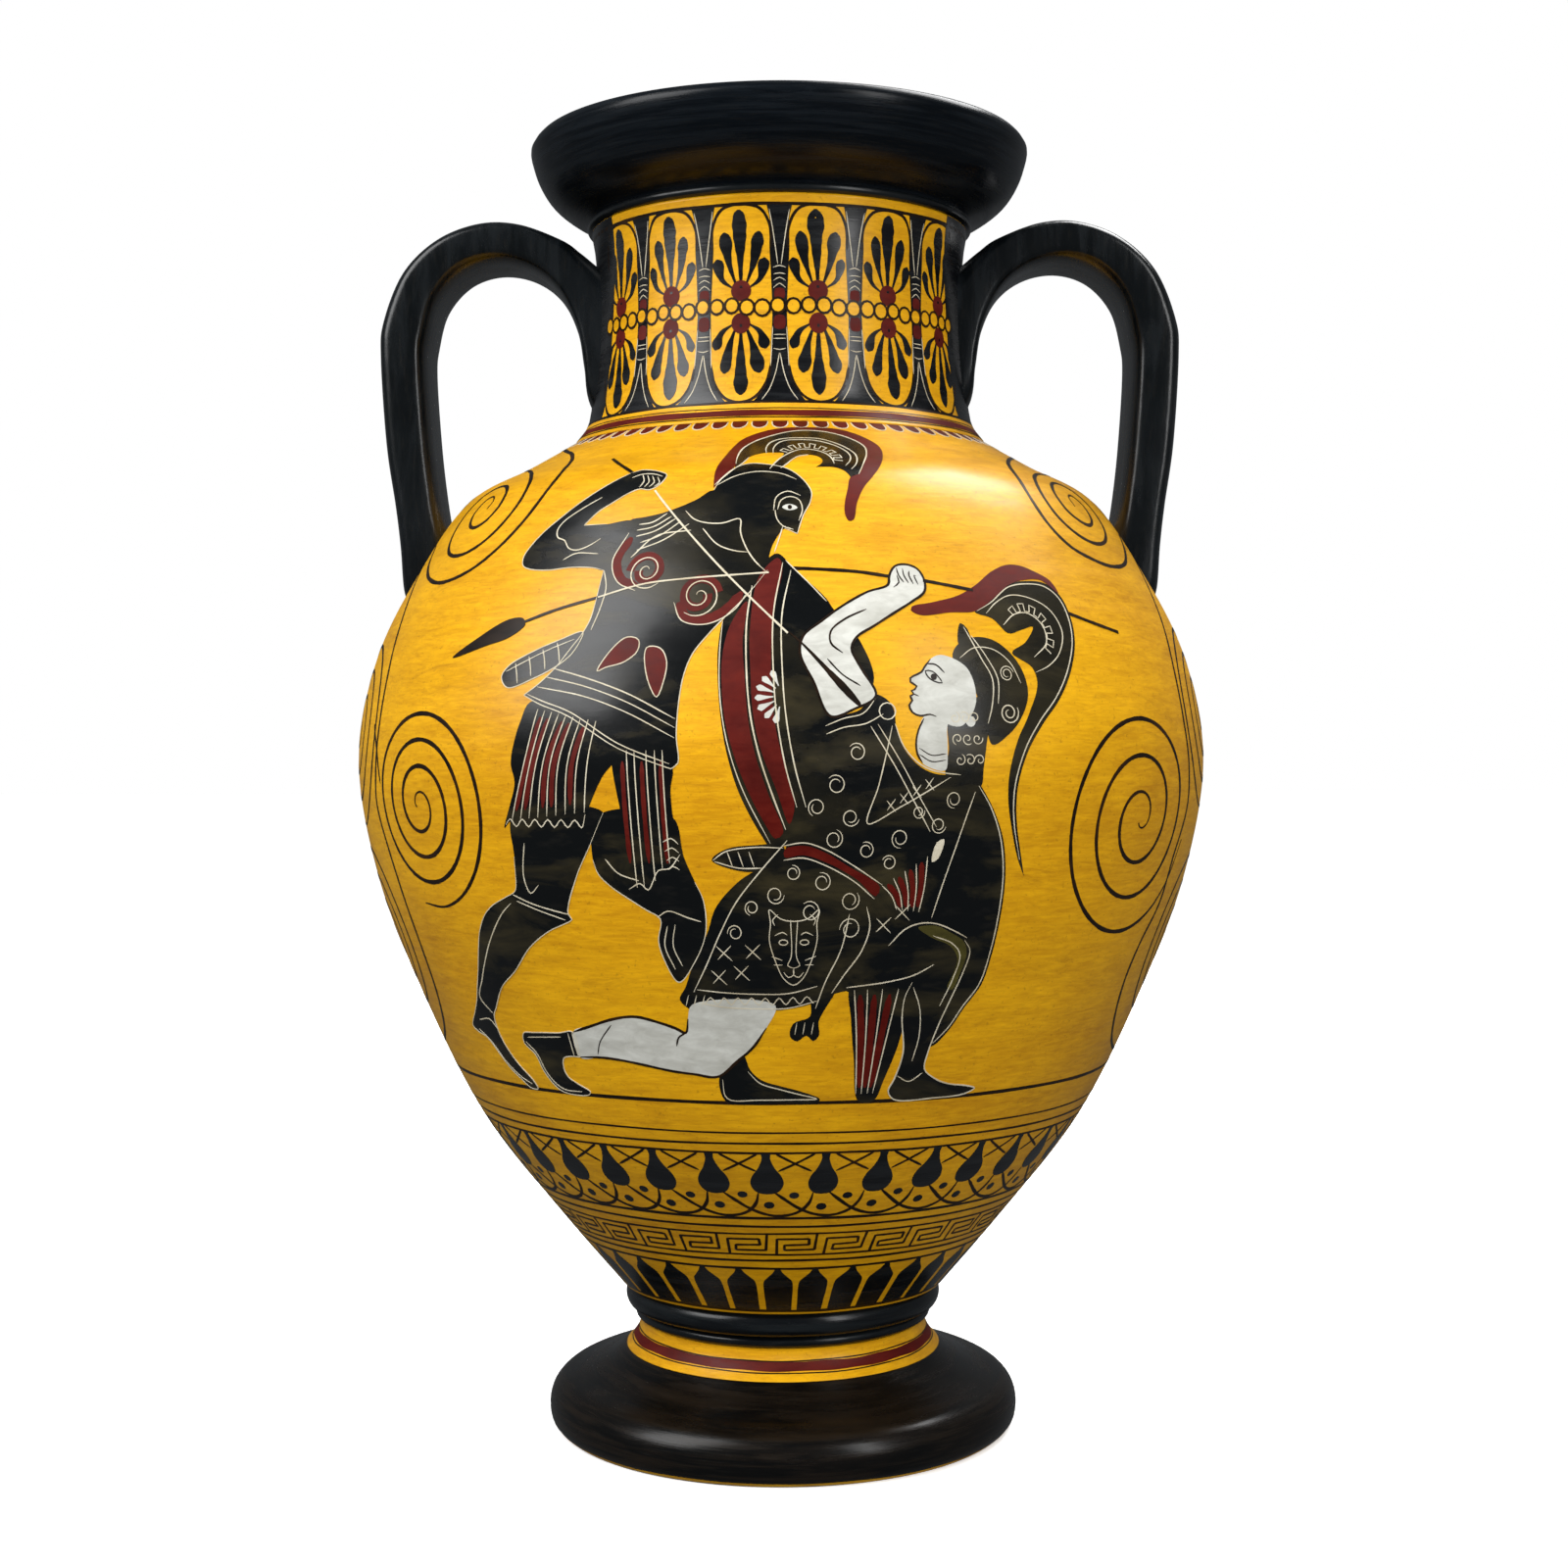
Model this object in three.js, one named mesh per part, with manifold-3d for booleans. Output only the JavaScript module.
// A two-handled neck amphora of fired clay: thrown in sections, luted together, with strap handles.
// Units are millimetres, +Z is up, and the origin is the middle of the ring that it stands on.
// The handles are at -X and +X, and the painted front faces -Y.
import * as THREE from 'three';
import { mergeVertices } from 'three/addons/utils/BufferGeometryUtils.js';
import Module from 'manifold-3d';

const wasm = await Module();
wasm.setup();

// Driving dimensions
const HEIGHT = 415;
const GAP = 0.3; // clearance left in every luted seam
const WALL = 6.5; // thickness of the thrown body wall
const TURNS = 48; // facets around the vessel

const NECK_BORE = 53; // inner radius of the neck
const NECK_FOOT_Z = 316.5; // seam between the shoulder and the neck
const NECK_FOOT_RADIUS = 68;
const NECK_TOP_Z = 389.2;
const SPIGOT = 60; // outer radius of the neck's spigot in the shoulder
const SPIGOT_DEPTH = 6;
const BEAD_Z = 386.6; // underside of the bead at the top of the neck
const BEAD_REBATE = 59.5; // radius of the rebate that the bead sits in
const BEAD_RADIUS = 62.8;

const RIM_INNER = 68; // inner edge of the flat rim
const RIM_OUTER = 79.6;
const MOUTH_RADIUS = 81.2;

const BELLY_RADIUS = 136.6; // largest radius of the body
const BELLY_Z = 216; // height of the largest radius, and the seam of the two body halves
const TONGUE = 6; // height of the tongue in the body seam
const BASE_Z = 46; // underside of the body
const BASE_RADIUS = 52.5;
const FLOOR_Z = 57; // inner floor of the body

const STEM_BORE = 32; // inner radius of the hollow in the collar and fillet
const BOSS_DEPTH = 5; // boss under the body that locates the collar
const COLLAR_Z = 33.9; // underside of the collar
const FILLET_Z = 25; // underside of the banded fillet
const FILLET_RADIUS = 51.4;
const FOOT_RADIUS = 76.3;
const STANDING_OUTER = 73; // flat standing ring under the foot
const STANDING_INNER = 62;

const HANDLE_WIDTH = 36; // along Y
const HANDLE_ROUND = 4; // rounding of the strap's long edges

const clay = new THREE.MeshStandardMaterial({ color: 0xb98416, roughness: 0.42, metalness: 0 });
const blackSlip = new THREE.MeshStandardMaterial({ color: 0x0c1012, roughness: 0.33, metalness: 0 });

const point = (x, y) => new THREE.Vector2(x, y);

// A smooth run of count + 1 points through a few [radius, height] points.
function smooth(through, count) {
  const curve = new THREE.SplineCurve(through.map(([x, y]) => point(x, y)));
  return curve.getSpacedPoints(count);
}

// The same run moved square to itself: a positive distance moves an upward run towards the axis.
function inset(run, distance) {
  return run.map((here, i) => {
    const before = run[Math.max(i - 1, 0)];
    const after = run[Math.min(i + 1, run.length - 1)];
    const along = after.clone().sub(before).normalize();
    return point(here.x - along.y * distance, here.y + along.x * distance);
  });
}

// A solid of revolution about Z. The section runs up the outside and down the inside.
function revolve(section) {
  const closed = [...section];
  const ends = [section[0], section[section.length - 1]];
  const onAxis = ends.every((end) => end.x === 0);
  if (!onAxis) closed.push(section[0].clone());
  const geometry = new THREE.LatheGeometry(closed, TURNS);
  geometry.rotateX(Math.PI / 2);
  return geometry;
}

// The triangles with no area that a lathe makes at its axis are dropped.
function toManifold(geometry) {
  const bare = geometry.clone();
  bare.deleteAttribute('normal');
  bare.deleteAttribute('uv');
  const merged = mergeVertices(bare);
  const corners = merged.index.array;
  const triangles = [];
  for (let i = 0; i < corners.length; i += 3) {
    const triangle = [corners[i], corners[i + 1], corners[i + 2]];
    if (new Set(triangle).size === 3) triangles.push(...triangle);
  }
  return new wasm.Manifold(new wasm.Mesh({
    numProp: 3,
    vertProperties: Float32Array.from(merged.attributes.position.array),
    triVerts: Uint32Array.from(triangles),
  }));
}

function toGeometry(manifold) {
  const mesh = manifold.getMesh();
  const geometry = new THREE.BufferGeometry();
  geometry.setAttribute('position', new THREE.BufferAttribute(mesh.vertProperties, 3));
  geometry.setIndex(new THREE.BufferAttribute(mesh.triVerts, 1));
  geometry.computeVertexNormals();
  return geometry;
}

// The outside of the body, from its underside to the seam with the neck, two facets between points.
const bodyPoints = [
  [BASE_RADIUS, BASE_Z], [71.9, 69.1], [97.3, 102.3], [116.6, 141.2], [130.6, 178.6], [BELLY_RADIUS, BELLY_Z],
  [130.6, 248], [117.6, 274.5], [101.5, 297.5], [84, 307.2], [NECK_FOOT_RADIUS, NECK_FOOT_Z],
];
const bodyCurve = new THREE.SplineCurve(bodyPoints.map(([x, y]) => point(x, y)))
  .getPoints(2 * (bodyPoints.length - 1));
const seamIndex = bodyCurve.findIndex((p) => p.y > BELLY_Z - GAP);
const bellyCurve = bodyCurve.slice(0, seamIndex + 1);
const shoulderCurve = bodyCurve.slice(seamIndex);

const neckCurve = smooth([
  [NECK_FOOT_RADIUS, NECK_FOOT_Z], [63.2, 323.3], [61.4, 334], [60, 356], [60.3, 378], [61.6, BEAD_Z - GAP],
], 7);
const mouthCurve = smooth([
  [62, NECK_TOP_Z + GAP], [69, 392.8], [75, 397.4], [78.4, 402.5], [80.3, 407.5], [MOUTH_RADIUS, 412.5],
  [RIM_OUTER, HEIGHT],
], 8);

function mouthLip() {
  const funnel = smooth([
    [RIM_INNER, HEIGHT], [65.5, 406], [59, 396], [NECK_BORE, NECK_TOP_Z + GAP],
  ], 4);
  return revolve([...mouthCurve, ...funnel]);
}

function neckBead() {
  const middle = (BEAD_Z + NECK_TOP_Z) / 2;
  const half = (NECK_TOP_Z - BEAD_Z) / 2;
  const start = BEAD_REBATE + 1.5;
  const round = new THREE.EllipseCurve(start, middle, BEAD_RADIUS - start, half, -Math.PI / 2, Math.PI / 2);
  const back = BEAD_REBATE + GAP;
  return revolve([point(back, BEAD_Z), ...round.getPoints(4), point(back, NECK_TOP_Z)]);
}

function neck() {
  return revolve([
    point(SPIGOT, NECK_FOOT_Z - SPIGOT_DEPTH),
    point(SPIGOT, NECK_FOOT_Z),
    ...neckCurve,
    point(BEAD_REBATE, BEAD_Z - GAP),
    point(BEAD_REBATE, NECK_TOP_Z),
    point(NECK_BORE, NECK_TOP_Z),
    point(NECK_BORE, NECK_FOOT_Z - SPIGOT_DEPTH),
  ]);
}

function shoulder() {
  const inside = inset(shoulderCurve, WALL).filter((p) => p.y > BELLY_Z + TONGUE + 4 && p.x > SPIGOT + 4);
  const tongueFace = BELLY_RADIUS - WALL / 2 + GAP;
  const inner = BELLY_RADIUS - WALL;
  const start = point(BELLY_RADIUS, BELLY_Z + GAP);
  return revolve([
    start,
    ...shoulderCurve.slice(1, -1),
    point(NECK_FOOT_RADIUS, NECK_FOOT_Z - GAP),
    point(SPIGOT + GAP, NECK_FOOT_Z - GAP),
    point(SPIGOT + GAP, NECK_FOOT_Z - SPIGOT_DEPTH - 1),
    ...inside.reverse(),
    point(inner, BELLY_Z + TONGUE + GAP),
    point(tongueFace, BELLY_Z + TONGUE + GAP),
    point(tongueFace, BELLY_Z + GAP),
  ]);
}

function belly() {
  const inside = inset(bellyCurve, WALL).filter((p) => p.y > FLOOR_Z + 8 && p.y < BELLY_Z - 4);
  const tongueFace = BELLY_RADIUS - WALL / 2;
  const inner = BELLY_RADIUS - WALL;
  return revolve([
    point(0, BASE_Z - BOSS_DEPTH),
    point(STEM_BORE - GAP, BASE_Z - BOSS_DEPTH),
    point(STEM_BORE - GAP, BASE_Z),
    ...bellyCurve,
    point(tongueFace, BELLY_Z),
    point(tongueFace, BELLY_Z + TONGUE),
    point(inner, BELLY_Z + TONGUE),
    point(inner, BELLY_Z - 2),
    ...inside.reverse(),
    point(42, FLOOR_Z + 2),
    point(26, FLOOR_Z),
    point(0, FLOOR_Z),
  ]);
}

function baseCollar() {
  const top = BASE_Z - GAP;
  const upperRoll = new THREE.EllipseCurve(48.3, 41.8, 2.9, top - 41.8, -Math.PI / 2.6, Math.PI / 2);
  const lowerRoll = new THREE.EllipseCurve(45.5, 35.9, 2.6, 35.9 - COLLAR_Z, -Math.PI / 2, Math.PI / 3);
  return revolve([
    point(STEM_BORE, COLLAR_Z),
    ...lowerRoll.getPoints(3),
    ...upperRoll.getPoints(4),
    point(STEM_BORE, top),
  ]);
}

function footFillet() {
  const top = COLLAR_Z - GAP;
  const flare = smooth([[FILLET_RADIUS, FILLET_Z], [48.8, 27.6], [47.2, 30.6], [46.8, top]], 4);
  return revolve([point(STEM_BORE, FILLET_Z), ...flare, point(STEM_BORE, top)]);
}

function footDisc() {
  const top = FILLET_Z - GAP;
  const outside = smooth([
    [STANDING_OUTER, 0], [75.5, 2.4], [FOOT_RADIUS, 7], [75.2, 11.5], [72, 15], [64, 17.6], [56, 21.4],
    [FILLET_RADIUS, top],
  ], 10);
  const hollow = smooth([[STEM_BORE, top], [36, 19], [47, 11], [STANDING_INNER, 0]], 5);
  return revolve([...outside, ...hollow]);
}

// Everything inside the vessel's outer skin, a seam's clearance larger, to shape the handles' roots.
function vesselEnvelope() {
  const skin = [...bellyCurve, ...shoulderCurve.slice(1), ...neckCurve.slice(1)];
  const grown = inset(skin, -GAP);
  return revolve([point(0, BASE_Z), ...grown, point(0, BEAD_Z)]);
}

// A strap handle on the +X side, drawn as an outline in X and Z and given its width along Y.
function handle(envelope) {
  const outer = smooth([
    [48, 365], [59.8, 375.2], [69.9, 382.6], [84, 388], [97, 388.2], [110.5, 383], [121.2, 372.5],
    [127.8, 357], [128.8, 345], [127, 317], [124.1, 297], [122.6, 284], [121.8, 271], [117, 256],
  ], 24);
  const inner = smooth([
    [100, 276], [109.2, 290], [111.5, 304], [113.4, 328], [114.3, 346], [112.2, 362], [103.6, 372.7],
    [92.1, 376.3], [80.5, 373.9], [71.5, 366.7], [66.4, 357.5], [64, 346], [62.6, 336], [57, 325], [48, 320],
  ], 24);
  const outline = new THREE.Shape([...outer, ...inner]);
  const strap = new THREE.ExtrudeGeometry(outline, {
    depth: HANDLE_WIDTH - 2 * HANDLE_ROUND,
    bevelEnabled: true,
    bevelThickness: HANDLE_ROUND,
    bevelSize: HANDLE_ROUND,
    bevelOffset: -HANDLE_ROUND,
    bevelSegments: 2,
  });
  strap.rotateX(Math.PI / 2);
  strap.translate(0, HANDLE_WIDTH / 2 - HANDLE_ROUND, 0);
  return toManifold(strap).subtract(envelope);
}

const group = new THREE.Group();

function addPiece(name, geometry, material) {
  const mesh = new THREE.Mesh(geometry, material);
  mesh.name = name;
  group.add(mesh);
}

addPiece('mouth_lip', mouthLip(), blackSlip);
addPiece('neck_bead', neckBead(), blackSlip);
addPiece('neck', neck(), clay);
addPiece('shoulder', shoulder(), clay);
addPiece('belly', belly(), clay);
addPiece('base_collar', baseCollar(), blackSlip);
addPiece('foot_fillet', footFillet(), clay);
addPiece('foot_disc', footDisc(), blackSlip);

const strap = handle(toManifold(vesselEnvelope()));
addPiece('handle_right', toGeometry(strap), blackSlip);
addPiece('handle_left', toGeometry(strap.mirror([1, 0, 0])), blackSlip);

export default group;
